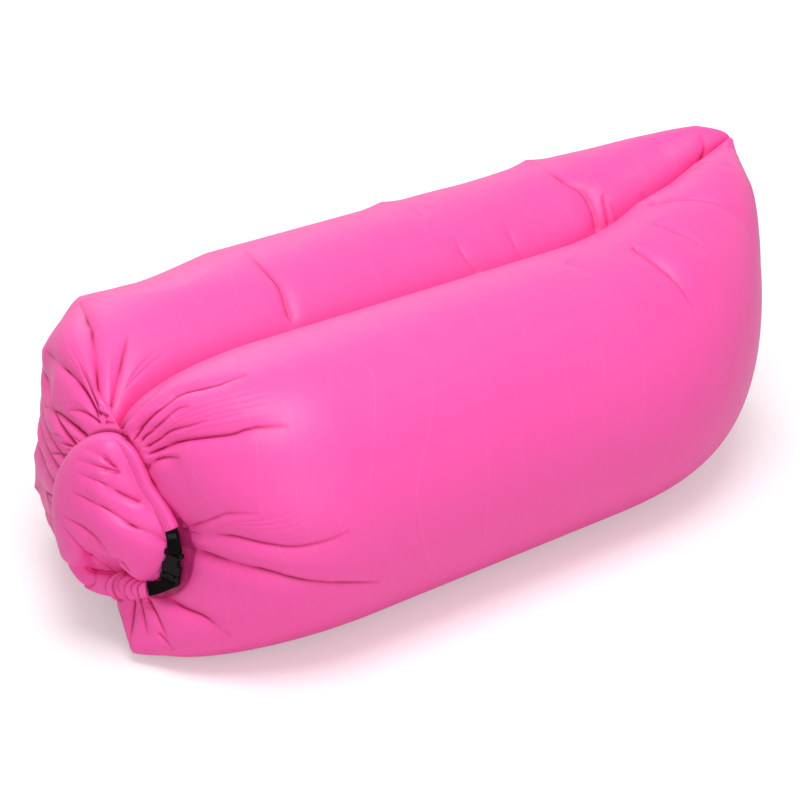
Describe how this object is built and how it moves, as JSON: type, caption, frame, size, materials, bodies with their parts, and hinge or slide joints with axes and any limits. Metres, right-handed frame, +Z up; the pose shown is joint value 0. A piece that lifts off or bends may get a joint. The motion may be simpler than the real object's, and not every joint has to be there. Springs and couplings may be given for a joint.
{
  "type": "inflatable air lounger",
  "caption": "Inflatable lounger of parallel nylon air tubes sewn side by side, with a raised head end and a rolled mouth held in a ring by a side-release buckle.",
  "frame": {"origin": "on the floor under the middle of the whole lounger", "axes": "+X along the lounger from the rolled mouth to the head end, -Y towards the front tube, +Z up"},
  "size_m": [1.497, 0.8284, 0.5546],
  "materials": {
    "shell_cloth": "soft sheen ripstop nylon",
    "liner_film": "thin clear film",
    "stiffener_plastic": "flexible flat strip",
    "webbing": "woven strap",
    "thread": "bonded sewing thread",
    "buckle_plastic": "satin moulded"
  },
  "bodies": {
    "lounger": {"front_tube_shell": "shell_cloth", "back_tube_shell": "shell_cloth", "front_air_liner": "liner_film", "back_air_liner": "liner_film", "centre_web": "shell_cloth", "head_end_seam": "shell_cloth", "front_mouth_cloth": "shell_cloth", "mouth_roll": "shell_cloth", "front_stiffener_strip": "stiffener_plastic", "back_stiffener_strip": "stiffener_plastic", "upper_webbing": "webbing", "lower_webbing": "webbing", "upper_bartack": "thread", "buckle_socket": "buckle_plastic"},
    "buckle_plug": {"buckle_plug": "buckle_plastic"},
    "left_prong": {"left_prong": "buckle_plastic"},
    "right_prong": {"right_prong": "buckle_plastic"}
  },
  "joints": [
    {"name": "plug_slide", "type": "slide", "parent": "lounger", "child": "buckle_plug", "axis": [-0.2042, 0.0297, -0.9785], "range_m": [-0.001, 0]},
    {"name": "left_prong_squeeze", "type": "hinge", "parent": "buckle_plug", "child": "left_prong", "pos_m": [-0.65476, -0.20252, 0.18059], "axis": [0.8925, 0.4162, -0.1736], "range_deg": [0, 9], "stiffness_Nm_per_rad": 1},
    {"name": "right_prong_squeeze", "type": "hinge", "parent": "buckle_plug", "child": "right_prong", "pos_m": [-0.64656, -0.22106, 0.17832], "axis": [-0.8925, -0.4162, 0.1736], "range_deg": [0, 9], "stiffness_Nm_per_rad": 1}
  ]
}
